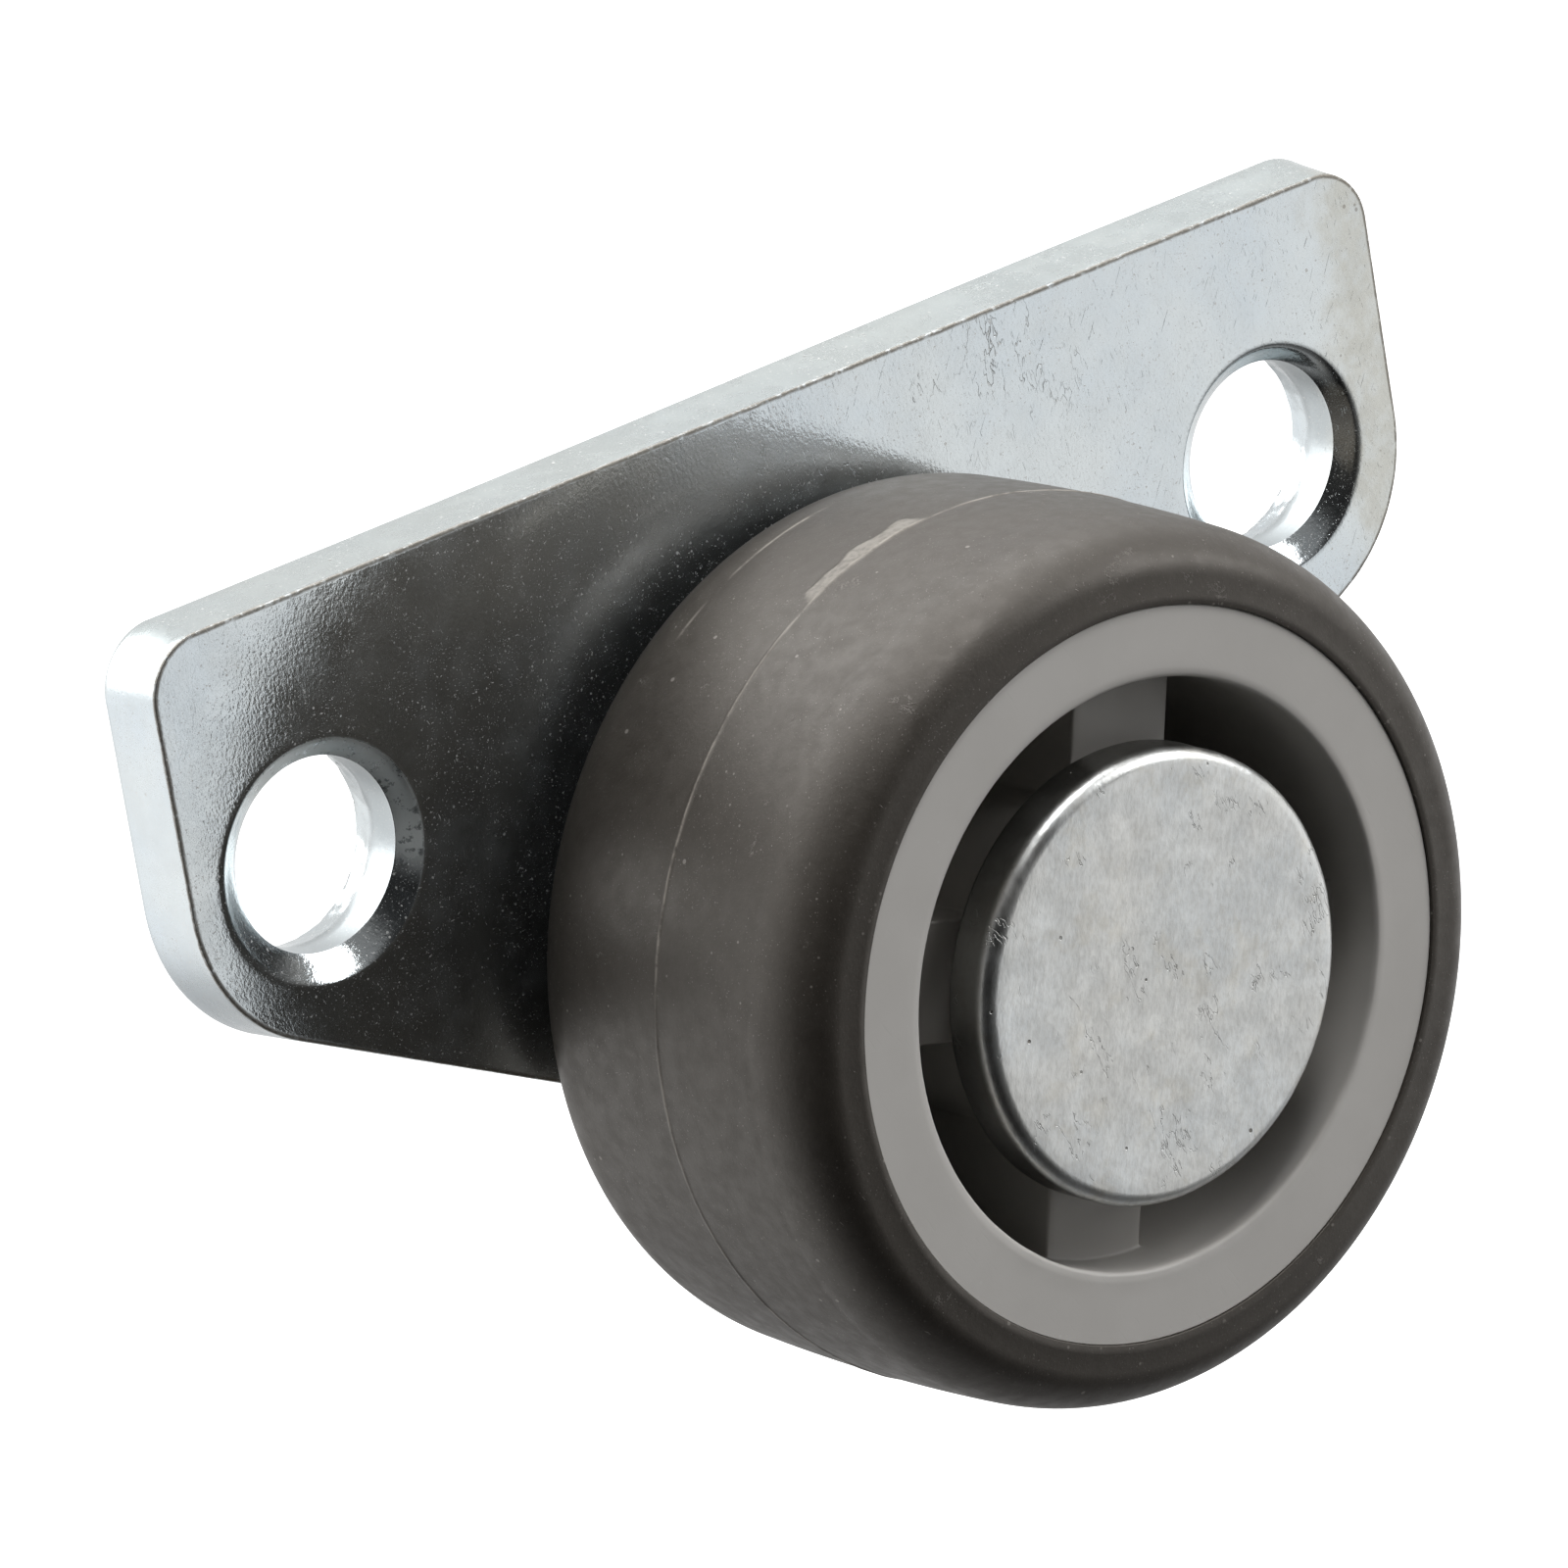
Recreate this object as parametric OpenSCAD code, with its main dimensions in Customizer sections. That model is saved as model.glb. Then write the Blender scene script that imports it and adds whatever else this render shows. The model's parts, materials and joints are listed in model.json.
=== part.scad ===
// Side-mounted roller for a sliding door: a stamped plate, a riveted axle and a wheel with a soft tyre.
// Millimetres, +Z up. The origin is midway between the two screw holes, on the plate's back face,
// which is the face that is screwed to the door. The wheel stands on the -Y side of the plate.

/* [Mounting plate] */
// Length of the plate along its straight top edge
plate_l = 48.6; // [47.6:0.1:54]
// Thickness of the sheet
plate_t = 2.75; // [2:0.05:4]
// Height of the top edge above the line of the screw holes
top_edge_h = 8.25; // [6:0.05:12]
// Radius of the two top corners
top_corner_r = 1.9; // [0.5:0.1:4]
// Radius of the two lower corners, outside the screw holes
low_corner_r = 5.5; // [5:0.1:7]
// Radius of the rounded bottom of the plate, around the axle
bottom_r = 7; // [6:0.1:9]

/* [Screw holes] */
// Distance between the two screw holes
hole_spacing = 38.3; // [34:0.1:39]
// Diameter of the screw holes
hole_d = 6; // [4:0.1:6.4]
// Outer diameter of the shallow countersink on the wheel side
countersink_d = 7.5; // [6.6:0.1:8.5]

/* [Axle] */
// Distance of the axle below the line of the screw holes
axle_drop = 8.15; // [7:0.05:12]
// Diameter of the rivet's shank
shank_d = 6; // [5:0.1:6.5]
// Diameter of the rivet's flat head
head_d = 14; // [12:0.1:16]
// Thickness of the rivet's head
head_t = 1.8; // [1.2:0.1:2.4]
// Height of the head's flat face above the wheel's front ring
head_proud = 0.55; // [0.2:0.05:1]
// Diameter of the peened tail, flush with the plate's back face
tail_d = 8.4; // [7.4:0.1:10]
// Outer diameter of the distance sleeve, which the wheel turns on
sleeve_d = 8; // [7.4:0.1:8.6]
// Diameter of the thrust washer
washer_d = 13; // [10:0.1:15]
// Thickness of the thrust washer
washer_t = 0.5; // [0.3:0.1:0.6]

/* [Wheel] */
// Largest diameter of the tyre, at its parting line
tyre_d = 27.5; // [26.5:0.1:29]
// Gap between the plate and the tyre
tyre_gap = 0.85; // [0.8:0.05:1.5]
// Distance of the hub's front ring from the plate
ring_h = 13.85; // [13:0.05:16]
// Outer diameter of the hub's front ring
ring_d = 22.5; // [21.5:0.1:23]
// Inner diameter of the hub's front ring
ring_bore_d = 18.1; // [17.2:0.1:18.6]
// Diameter of the hub's boss, around the sleeve
boss_d = 11; // [10:0.1:12]
// Width of each rib
rib_w = 3.75; // [2:0.05:5]
// Depth of the ribs below the front ring
rib_recess = 2.05; // [1:0.05:4]
// Angle of the ribs, clockwise as seen from the front
rib_turn = 15; // [0:1:45]

/* [Hidden] */
$fn = 96;
eps = 0.01;

// Plate
half_l = plate_l / 2;
low_corner = [half_l - low_corner_r, -0.2];
axle_point = [0, -axle_drop];
countersink_depth = 0.6;

// Axle: heights are measured from the plate's front face
tail_depth = 1.2;
rivet_face_h = ring_h + head_proud;
head_back_h = rivet_face_h - head_t;
head_edge_r = 0.5;
press_gap = 0.05;
running_clearance = 0.05;
axial_play = 0.1;

// Wheel: heights are measured from the plate's front face
tyre_face_h = ring_h + 0.1;
parting_h = 7.2;
crown_drop = 0.12;
front_shoulder = [1.5, 2.5];
rear_shoulder = [1.35, 1.9];
rim_back_h = tyre_gap + 0.15;
lock_rib_r = ring_d / 2 + 0.75;
lock_rib_from = 5.7;
lock_rib_to = 8.7;
web_back_h = rim_back_h + 0.4;
web_front_h = web_back_h + 1.6;
rib_front_h = ring_h - rib_recess;
rib_count = 4;

// Points on an elliptical arc; half_axes holds the arc's two radii
function arc(centre, half_axes, from, to, steps = 10) = [
    for (i = [0 : steps])
        let (a = from + (to - from) * i / steps)
        centre + [half_axes.x * cos(a), half_axes.y * sin(a)]
];

// Direction square to the straight edge that touches two circles on their outer side
function edge_normal(c1, r1, c2, r2) =
    let (d = c2 - c1, a = atan2(d.y, d.x) + acos((r1 - r2) / norm(d)))
    [cos(a), sin(a)];

function mirrored(points) = [for (i = [len(points) - 1 : -1 : 0]) [-points[i].x, points[i].y]];

// Puts a shape whose z axis is the axle onto the axle, with z = 0 on the plate's front face
module on_axle() {
    translate([0, -plate_t, -axle_drop]) rotate([90, 0, 0]) children();
}

// Wedge-shaped plate outline, with an arc at each corner and round the axle
module plate_outline() {
    n = edge_normal(low_corner, low_corner_r, axle_point, bottom_r);
    slope = atan2(n.y, n.x);
    top_corner = [half_l, top_edge_h] - [top_corner_r, top_corner_r];
    right_side = concat(
        arc(top_corner, [top_corner_r, top_corner_r], 90, 0),
        arc(low_corner, [low_corner_r, low_corner_r], 0, slope),
        arc(axle_point, [bottom_r, bottom_r], slope, -90)
    );
    polygon(concat(right_side, mirrored([for (i = [0 : len(right_side) - 2]) right_side[i]])));
}

// Through hole with a shallow countersink at the plate's front face
module screw_hole() {
    translate([0, 0, -eps]) cylinder(d = hole_d, h = plate_t + 2 * eps);
    translate([0, 0, plate_t - countersink_depth])
        cylinder(d1 = hole_d, d2 = countersink_d + 2 * eps, h = countersink_depth + eps);
}

// Hole for the rivet, opened out at the plate's back face for the peened tail
module rivet_hole() {
    translate([0, 0, -eps]) cylinder(d = shank_d, h = plate_t + 2 * eps);
    translate([0, 0, -eps]) cylinder(d1 = tail_d + 2 * eps, d2 = shank_d, h = tail_depth + eps);
}

module mounting_plate() {
    color("lightsteelblue") rotate([90, 0, 0]) difference() {
        linear_extrude(plate_t) plate_outline();
        for (side = [-1, 1]) translate([side * hole_spacing / 2, 0, 0]) screw_hole();
        translate(axle_point) rivet_hole();
    }
}

// Flat head, shank and peened tail in one piece
module axle_rivet() {
    head_rim = arc([head_d / 2 - head_edge_r, rivet_face_h - head_edge_r], [head_edge_r, head_edge_r], 0, 90, 6);
    profile = concat(
        [
            [0, -plate_t],
            [tail_d / 2, -plate_t],
            [shank_d / 2, tail_depth - plate_t],
            [shank_d / 2, head_back_h],
            [head_d / 2, head_back_h]
        ],
        head_rim,
        [[0, rivet_face_h]]
    );
    color("silver") on_axle() rotate_extrude() polygon(profile);
}

// A straight tube standing on the plate's front face
module tube(d_out, d_in, h) {
    difference() {
        cylinder(d = d_out, h = h);
        translate([0, 0, -eps]) cylinder(d = d_in, h = h + 2 * eps);
    }
}

module axle_sleeve() {
    color("gray") on_axle() tube(sleeve_d, shank_d + 2 * press_gap, head_back_h);
}

module thrust_washer() {
    color("ivory") on_axle() tube(washer_d, sleeve_d + 2 * press_gap, washer_t);
}

// Rim with a rib in the middle that the tyre is moulded around
module hub_rim() {
    rotate_extrude() polygon([
        [ring_bore_d / 2, rim_back_h],
        [ring_d / 2, rim_back_h],
        [ring_d / 2, lock_rib_from],
        [lock_rib_r, lock_rib_from],
        [lock_rib_r, lock_rib_to],
        [ring_d / 2, lock_rib_to],
        [ring_d / 2, ring_h],
        [ring_bore_d / 2, ring_h]
    ]);
}

module hub_ribs() {
    reach = ring_bore_d / 2 + eps;
    intersection() {
        cylinder(r = reach, h = rib_front_h);
        for (i = [0 : rib_count - 1])
            rotate(360 * i / rib_count - rib_turn)
                translate([0, -rib_w / 2, web_back_h]) cube([ring_d / 2, rib_w, rib_front_h - web_back_h]);
    }
}

module wheel_hub() {
    boss_back_h = washer_t + axial_play;
    boss_front_h = head_back_h - axial_play;
    color("darkgray") on_axle() difference() {
        union() {
            hub_rim();
            hub_ribs();
            translate([0, 0, web_back_h]) cylinder(r = ring_bore_d / 2 + eps, h = web_front_h - web_back_h);
            translate([0, 0, boss_back_h]) cylinder(d = boss_d, h = boss_front_h - boss_back_h);
        }
        cylinder(d = sleeve_d + 2 * running_clearance, h = ring_h);
    }
}

module tyre() {
    shoulder_r = tyre_d / 2 - crown_drop;
    rear_centre = [shoulder_r, tyre_gap] + [-rear_shoulder.x, rear_shoulder.y];
    front_centre = [shoulder_r, tyre_face_h] - front_shoulder;
    profile = concat(
        [[ring_d / 2, tyre_gap]],
        arc(rear_centre, rear_shoulder, -90, 0),
        [[tyre_d / 2, parting_h]],
        arc(front_centre, front_shoulder, 0, 90),
        [
            [ring_d / 2, tyre_face_h],
            [ring_d / 2, lock_rib_to],
            [lock_rib_r, lock_rib_to],
            [lock_rib_r, lock_rib_from],
            [ring_d / 2, lock_rib_from]
        ]
    );
    color("dimgray") on_axle() rotate_extrude() polygon(profile);
}

mounting_plate();
axle_rivet();
axle_sleeve();
thrust_washer();
wheel_hub();
tyre();
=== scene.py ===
import json
import math

import bmesh
import bpy
from mathutils import Matrix, Vector, geometry, noise


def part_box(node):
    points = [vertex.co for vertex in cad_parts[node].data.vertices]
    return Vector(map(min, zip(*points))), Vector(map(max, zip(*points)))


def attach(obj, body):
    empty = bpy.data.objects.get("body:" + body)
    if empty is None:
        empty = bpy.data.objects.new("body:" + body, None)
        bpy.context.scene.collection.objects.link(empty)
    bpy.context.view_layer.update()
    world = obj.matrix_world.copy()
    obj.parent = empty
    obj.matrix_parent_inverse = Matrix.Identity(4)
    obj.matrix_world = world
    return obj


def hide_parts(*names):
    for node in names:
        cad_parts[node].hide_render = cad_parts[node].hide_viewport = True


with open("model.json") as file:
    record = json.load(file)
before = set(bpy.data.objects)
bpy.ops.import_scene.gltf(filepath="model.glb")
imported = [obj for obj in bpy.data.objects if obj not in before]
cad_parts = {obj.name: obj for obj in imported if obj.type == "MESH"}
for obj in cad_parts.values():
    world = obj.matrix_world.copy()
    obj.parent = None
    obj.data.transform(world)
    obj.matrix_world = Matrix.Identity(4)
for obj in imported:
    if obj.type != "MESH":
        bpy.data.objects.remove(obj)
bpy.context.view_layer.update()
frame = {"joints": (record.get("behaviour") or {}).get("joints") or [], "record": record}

# Every length below is in millimetres unless its name says otherwise; meshes are made in metres.
MM = 0.001


def box_mm(node):
    """Lowest and highest corners of a CAD node at rest."""
    low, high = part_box(node)
    return low / MM, high / MM


# Sizes read from the frame
plate_low, plate_high = box_mm("mounting_plate")
tyre_low, tyre_high = box_mm("tyre")
hub_low, hub_high = box_mm("wheel_hub")
rivet_low, rivet_high = box_mm("axle_rivet")
washer_low, washer_high = box_mm("thrust_washer")
sleeve_low, sleeve_high = box_mm("axle_sleeve")

FRONT_Y = plate_low.y
PLATE_T = plate_high.y - plate_low.y
HALF_L = plate_high.x
TOP_Z = plate_high.z
AXLE_Z = frame["joints"][0]["pos_m"][2] / MM

# Heights along the axle, measured from the plate's front face towards the wheel
HUB_FRONT = FRONT_Y - hub_low.y
BOSS_BACK = FRONT_Y - hub_high.y
TYRE_FRONT = FRONT_Y - tyre_low.y
TYRE_BACK = FRONT_Y - tyre_high.y
RIVET_FACE = FRONT_Y - rivet_low.y
WASHER_T = FRONT_Y - washer_low.y
HEAD_BACK = FRONT_Y - sleeve_low.y

TYRE_R = tyre_high.x
HEAD_R = rivet_high.x
WASHER_R = washer_high.x
SLEEVE_R = sleeve_high.x

# The screw holes, from the record
mounts = {mount["name"]: mount["dims"] for mount in frame["record"]["mounts"]}
screws = mounts["screw_holes"]
HOLE_X = screws["spacing_x_mm"] / 2
HOLE_R = screws["hole_r_mm"]

# Sizes that a box doesn't show, as in the CAD model
TOP_CORNER_R = 1.9
LOW_CORNER_R = 5.5
LOW_CORNER_Z = -0.2
BOTTOM_R = 7.0
SHANK_R = 3.0
PRESS_GAP = 0.05
TAIL_R = 4.2
TAIL_DEPTH = 1.2
RING_R = 11.25
RING_BORE_R = 9.05
BOSS_R = 5.5
HUB_BORE_R = 4.05
BOSS_FRONT = HEAD_BACK - 0.1
BOSS_MIDDLE = 6.0
RIB_W = 3.75
RIB_FRONT = HUB_FRONT - 2.05
RIB_TURN = -15.0
RIB_COUNT = 4
RIM_BACK = TYRE_BACK + 0.15
WEB_BACK = RIM_BACK + 0.4
WEB_FRONT = WEB_BACK + 1.6
LOCK_R = 12.0
LOCK_FROM = 5.7
LOCK_TO = 8.7
CROWN_DROP = 0.12
FRONT_SHOULDER = Vector((1.5, 2.5))
REAR_SHOULDER = Vector((1.35, 1.9))

# Details of the visual model only: countersinks on the left (-1) and right (1), a little off their
# holes, with painted light on the left one's rim towards an angle; the depth from which the holes
# are torn
COUNTERSINK_RADII = {-1: 3.72, 1: 3.66}
COUNTERSINK_DEPTH = 0.6
COUNTERSINK_SHIFT = Vector((-0.16, -0.08))
RIM_LIGHT_TOWARDS = math.radians(55)
TORN_FROM = 1.85

# The stamped sheet's cut side: rolled back edge, burr, dents, and how much it widens to the back,
# everywhere and along the top; the band that was cut, as (from depth, to depth, fade)
ROLL_R = 0.42
BURR = 0.014
DENTS = 0.012
FLARE = 0.15
TOP_FLARE = 0.2
CUT_BAND = (0.5, 1.8, 0.4)

# The tyre: heights of its parting line and of the line rubbed on its rear shoulder, the width and
# drop of its sloping front face, and the flash's and the rubbed line's (from, to, fade) in degrees
PARTING_H = 7.2
RUB_H = 2.98
CONE_W = 1.7
CONE_DROP = 0.14
FLASH_SPAN = (94, 111, 2.5)
RUB_SPAN = (96, 119, 4)

# Where the hub's ring has a burr, as (from, to, fade) in degrees
BURR_SPAN = (-130, 10, 25)

# Mesh density on the plate's outline and faces, and angles in degrees for shading and bevels
EDGE_SPACING = 0.13
FACE_SPACING = 1.0
SHARP_ANGLE = 38
BEVEL_ABOVE = 55


def wobble(point, size, seed):
    """Smooth noise from -1 to 1 with bumps of about the given size; the same on every run."""
    return noise.noise(Vector(point) / size + Vector((seed, 2.3 * seed, 5.1)))


def smooth_step(value, low, high):
    """0 at low, 1 at high and smooth between them."""
    t = min(max((value - low) / (high - low), 0.0), 1.0)
    return t * t * (3 - 2 * t)


def hump(value, low, high, soft):
    """1 between low and high, fading to 0 over the soft distance outside them."""
    return smooth_step(value, low - soft, low) * (1 - smooth_step(value, high, high + soft))


# ---------------------------------------------------------------- meshes


class Shell:
    """Collects rings of points and the faces between them, then makes the mesh object."""

    def __init__(self):
        self.points = []
        self.faces = []
        self.marks = {}

    def ring(self, points, **marks):
        """Adds points, each with its values of the named marks, and returns their numbers."""
        start = len(self.points)
        self.points.extend(points)
        for name, values in marks.items():
            for offset, value in enumerate(values):
                self.marks.setdefault(name, {})[start + offset] = value
        return list(range(start, start + len(points)))

    def skin(self, rings, closed):
        """Joins each ring to the next one, and the last ring to the first one if closed."""
        for first, second in zip(rings, rings[1:] + (rings[:1] if closed else [])):
            for i in range(len(first)):
                j = (i + 1) % len(first)
                self.faces.append((first[i], first[j], second[j], second[i]))

    def cap(self, outer, holes, spacing, y):
        """Fills a flat convex outline that has round holes, at the given y."""
        flat = [Vector((self.points[i][0], self.points[i][2])) for i in outer]
        outline = list(flat)
        owners = list(outer)
        edges = [(i, (i + 1) % len(outer)) for i in range(len(outer))]
        for ring, _, _ in holes:
            first = len(flat)
            flat.extend(Vector((self.points[i][0], self.points[i][2])) for i in ring)
            owners.extend(ring)
            edges.extend((first + i, first + (i + 1) % len(ring)) for i in range(len(ring)))
        left, right = min(p.x for p in flat), max(p.x for p in flat)
        low, high = min(p.y for p in flat), max(p.y for p in flat)
        apart, margin = 0.4 * spacing, 0.3 * spacing
        for column in range(int((right - left) / spacing)):
            for row in range(int((high - low) / spacing)):
                point = Vector((left + (column + 0.5) * spacing, low + (row + 0.5) * spacing))
                clear = all((point - centre).length > radius + apart for _, centre, radius in holes)
                if clear and self.inside(point, outline, margin):
                    flat.append(point)
                    owners.append(len(self.points))
                    self.points.append((point.x, y, point.y))
        made = geometry.delaunay_2d_cdt(flat, edges, [], 1, 1e-6)
        source = [owners[ids[0]] for ids in made[3]]
        for face in made[2]:
            middle = sum((made[0][i] for i in face), Vector((0, 0))) / len(face)
            if all((middle - centre).length > radius for _, centre, radius in holes):
                self.faces.append(tuple(source[i] for i in face))

    @staticmethod
    def inside(point, outline, margin):
        """True if the point is at least margin inside a convex outline given clockwise."""
        step = max(1, len(outline) // 120)
        corners = outline[::step]
        for i, start in enumerate(corners):
            edge = corners[(i + 1) % len(corners)] - start
            if edge.length > 0 and edge.cross(point - start) / edge.length > -margin:
                return False
        return True

    def make(self, name, bevel=0.0):
        """Makes the object: points that coincide are merged, and sharp edges can be bevelled."""
        mesh = bpy.data.meshes.new(name)
        mesh.from_pydata([Vector(p) * MM for p in self.points], [], self.faces)
        for mark, values in self.marks.items():
            layer = mesh.attributes.new(mark, "FLOAT", "POINT")
            for index, value in values.items():
                layer.data[index].value = value
        work = bmesh.new()
        work.from_mesh(mesh)
        bmesh.ops.remove_doubles(work, verts=work.verts, dist=0.0004 * MM)
        bmesh.ops.dissolve_degenerate(work, edges=work.edges, dist=0.0003 * MM)
        if bevel:
            limit = math.radians(BEVEL_ABOVE)
            sharp = [e for e in work.edges if e.is_manifold and e.calc_face_angle(0) > limit]
            shape = {"offset": bevel * MM, "segments": 3, "profile": 0.5, "clamp_overlap": True}
            bmesh.ops.bevel(work, geom=sharp, affect="EDGES", **shape)
        bmesh.ops.recalc_face_normals(work, faces=work.faces)
        work.to_mesh(mesh)
        work.free()
        mesh.shade_smooth()
        mesh.set_sharp_from_angle(angle=math.radians(SHARP_ANGLE))
        piece = bpy.data.objects.new(name, mesh)
        bpy.context.scene.collection.objects.link(piece)
        return piece


def on_axle(radius, angle, height):
    """Point at a radius and angle (radians, from +X towards +Z) about the axle."""
    return (radius * math.cos(angle), FRONT_Y - height, AXLE_Z + radius * math.sin(angle))


def arc(centre, half_axes, start, end, steps):
    """Points on an elliptical arc; angles in degrees."""
    points = []
    for i in range(steps + 1):
        a = math.radians(start + (end - start) * i / steps)
        x, y = half_axes[0] * math.cos(a), half_axes[1] * math.sin(a)
        points.append((centre[0] + x, centre[1] + y))
    return points


def rounded(corners, steps=4):
    """Closed profile through corners given as (x, y, edge radius)."""
    points = []
    for i, (x, y, radius) in enumerate(corners):
        here = Vector((x, y))
        if radius == 0:
            points.append((x, y))
            continue
        before = (Vector(corners[i - 1][:2]) - here).normalized()
        after = (Vector(corners[(i + 1) % len(corners)][:2]) - here).normalized()
        half = before.angle(after) / 2
        centre = here + (before + after).normalized() * radius / math.sin(half)
        start = here + before * radius / math.tan(half) - centre
        end = here + after * radius / math.tan(half) - centre
        first = math.atan2(start.y, start.x)
        turn = (math.atan2(end.y, end.x) - first + math.pi) % (2 * math.pi) - math.pi
        for k in range(steps + 1):
            a = first + turn * k / steps
            points.append((centre.x + radius * math.cos(a), centre.y + radius * math.sin(a)))
    return points


def subdivided(points, spacing):
    """The same closed profile with extra points, so that no step is longer than spacing."""
    dense = []
    for i, point in enumerate(points):
        start = Vector(point)
        end = Vector(points[(i + 1) % len(points)])
        parts = max(1, math.ceil((end - start).length / spacing))
        dense.extend(tuple(start.lerp(end, k / parts)) for k in range(parts))
    return dense


def lathe(name, profile, segments, shape=None, marks=None):
    """Turns a closed (radius, height) profile about the axle.

    shape moves each point and marks paints it; both are given its radius, height and angle.
    """
    shell = Shell()
    rings = []
    for radius, height in profile:
        ring = []
        values = {}
        for i in range(segments):
            angle = 2 * math.pi * i / segments
            r, h = shape(radius, height, angle) if shape else (radius, height)
            ring.append(on_axle(r, angle, h))
            for mark, value in (marks(radius, height, angle) if marks else {}).items():
                values.setdefault(mark, []).append(value)
        rings.append(shell.ring(ring, **values))
    shell.skin(rings, closed=True)
    return shell.make(name)


# ---------------------------------------------------------------- mounting plate


# Steps along each edge of the outline. They are counted on the first outline made, so that every
# outline has the same number of points.
edge_steps = []


def plate_outline(inset):
    """Closed outline of the plate, moved inwards by inset, clockwise as seen from the front."""
    low = Vector((HALF_L - LOW_CORNER_R, LOW_CORNER_Z))
    axle = Vector((0, AXLE_Z))
    across = axle - low
    lean = math.acos((LOW_CORNER_R - BOTTOM_R) / across.length)
    slope = math.degrees(math.atan2(across.y, across.x) + lean)
    top = Vector((HALF_L - TOP_CORNER_R, TOP_Z - TOP_CORNER_R))
    right = [
        (top, TOP_CORNER_R, 90, 0, 14),
        (low, LOW_CORNER_R, 0, slope, 26),
        (axle, BOTTOM_R, slope, -90, 24),
    ]
    corners = [arc(c, (r - inset, r - inset), a, b, n) for c, r, a, b, n in right]
    half = [point for corner in corners for point in corner]
    whole = half + [(-x, z) for x, z in reversed(half)][1:]
    spaced = []
    for i, start in enumerate(whole):
        end = whole[(i + 1) % len(whole)]
        if i == len(edge_steps):
            edge_steps.append(max(1, round(math.dist(start, end) / EDGE_SPACING)))
        for k in range(edge_steps[i]):
            spaced.append(tuple(a + (b - a) * k / edge_steps[i] for a, b in zip(start, end)))
    return spaced


def plate_side(shell):
    """Side of the stamped sheet: ragged front edge, cut band and a rolled back edge."""
    profile = [(0.55, 0.0), (0.2, 0.0), (0.07, 0.0)]
    profile += [(0.045, 0.004), (0.016, 0.016), (0.004, 0.045)]
    profile += [(0.0, depth) for depth in (0.075, 0.16, 0.4, 0.8, 1.3, 1.8)]
    rolled = arc((0, 0), (ROLL_R, ROLL_R), 0, 90, 7)
    profile += [(ROLL_R - x, PLATE_T - ROLL_R + z) for x, z in rolled]
    profile += [(0.8, PLATE_T)]
    rings = []
    for inset, depth in profile:
        points = []
        dirt = []
        upward_painted_shade = []
        ragged = hump(inset, 0.0, 0.06, 0.06) * hump(depth, 0.0, 0.07, 0.1)
        for (x, z), (out_x, out_z) in zip(plate_outline(inset), plate_outline(inset - 1)):
            away = Vector((out_x - x, 0, out_z - z))
            spot = (x, 7.0 * depth, z)
            burr = wobble(spot, 0.35, 1) * 0.6 + wobble(spot, 0.14, 2) * 0.6
            dent = DENTS * wobble((x, 0.6 * depth, z), 2.5, 3) * hump(depth, *CUT_BAND)
            dent = min(dent - DENTS * hump(depth, *CUT_BAND), 0)
            skew = FLARE * (1 + away.x - away.z)
            skew += TOP_FLARE * max(away.z, 0) * smooth_step(x, -15, 15)
            skew *= depth / PLATE_T
            shift = (BURR * burr - 0.008) * ragged + dent + skew
            y = FRONT_Y + depth + 0.01 * burr * ragged
            points.append((x + away.x * shift, y, z + away.z * shift))
            gap = 0.5 + 0.9 * wobble((x, 0, z), 0.5, 4) + 0.5 * wobble((x, 0, z), 2.4, 5)
            grime = (0.8 + 0.3 * gap) * hump(inset, 0.0, 0.06, 0.03)
            dirt.append(grime * hump(depth, 0.0, 0.06, 0.03))
            # Painted shade: marks the cut side where it faces up, to be coloured darker
            upward_painted_shade.append(max(away.z, 0.0) * smooth_step(depth, 0.03, 0.1))
        cut = smooth_step(depth, 0.03, 0.1) if inset < 0.3 else 0.0
        marks = {"edge_dirt": dirt, "upward_painted_shade": upward_painted_shade, "cut": [cut] * len(points)}
        rings.append(shell.ring(points, **marks))
    shell.skin(rings, closed=False)
    return rings[0], rings[-1]


def off_centre(centre):
    """How far a hole's front edge sits off its centre; the rivet's hole, at x = 0, isn't off."""
    return COUNTERSINK_SHIFT * (centre.x != 0)


def plate_hole(shell, centre, profile, segments, rough_from):
    """Wall of a round hole, torn from the depth rough_from; profile holds (radius, depth)."""
    rings = []
    torn_wall = rough_from < PLATE_T
    for radius, depth in profile:
        ring = []
        worn = []
        torn = smooth_step(depth, rough_from - 0.05, rough_from + 0.1)
        torn *= 1 - smooth_step(depth, PLATE_T - 0.05, PLATE_T)
        at_border = hump(depth, rough_from - 0.1, rough_from + 0.15, 0.2)
        at = centre + off_centre(centre) * (1 - smooth_step(depth, 0.0, COUNTERSINK_DEPTH))
        for i in range(segments):
            angle = 2 * math.pi * i / segments
            spot = (3 * math.cos(angle), depth, 3 * math.sin(angle) + centre.x)
            r = radius + torn * (0.03 * wobble(spot, 0.5, 6) + 0.03 * wobble(spot, 0.2, 7))
            border = 0.12 * wobble(spot, 0.9, 8) * at_border * torn_wall
            y = FRONT_Y + depth + border
            ring.append((at.x + r * math.cos(angle), y, at.y + r * math.sin(angle)))
            # Painted light: marks one side of the left countersink's rim, to be coloured pale
            facing = smooth_step(math.cos(angle - RIM_LIGHT_TOWARDS), 0.0, 0.5) * (centre.x < 0)
            facing *= smooth_step(depth, 0.0, 0.03)
            worn.append(facing * (1 - smooth_step(depth, 0.58, 0.62)))
        wall = smooth_step(depth, COUNTERSINK_DEPTH - 0.02, COUNTERSINK_DEPTH + 0.05)
        wall *= 1 - 0.75 * torn
        wall *= 1 - smooth_step(depth, PLATE_T - 0.1, PLATE_T)
        rings.append(shell.ring(ring, bore=[wall] * segments, worn_rim=worn))
    shell.skin(rings, closed=False)
    return rings[0], rings[-1]


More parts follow.
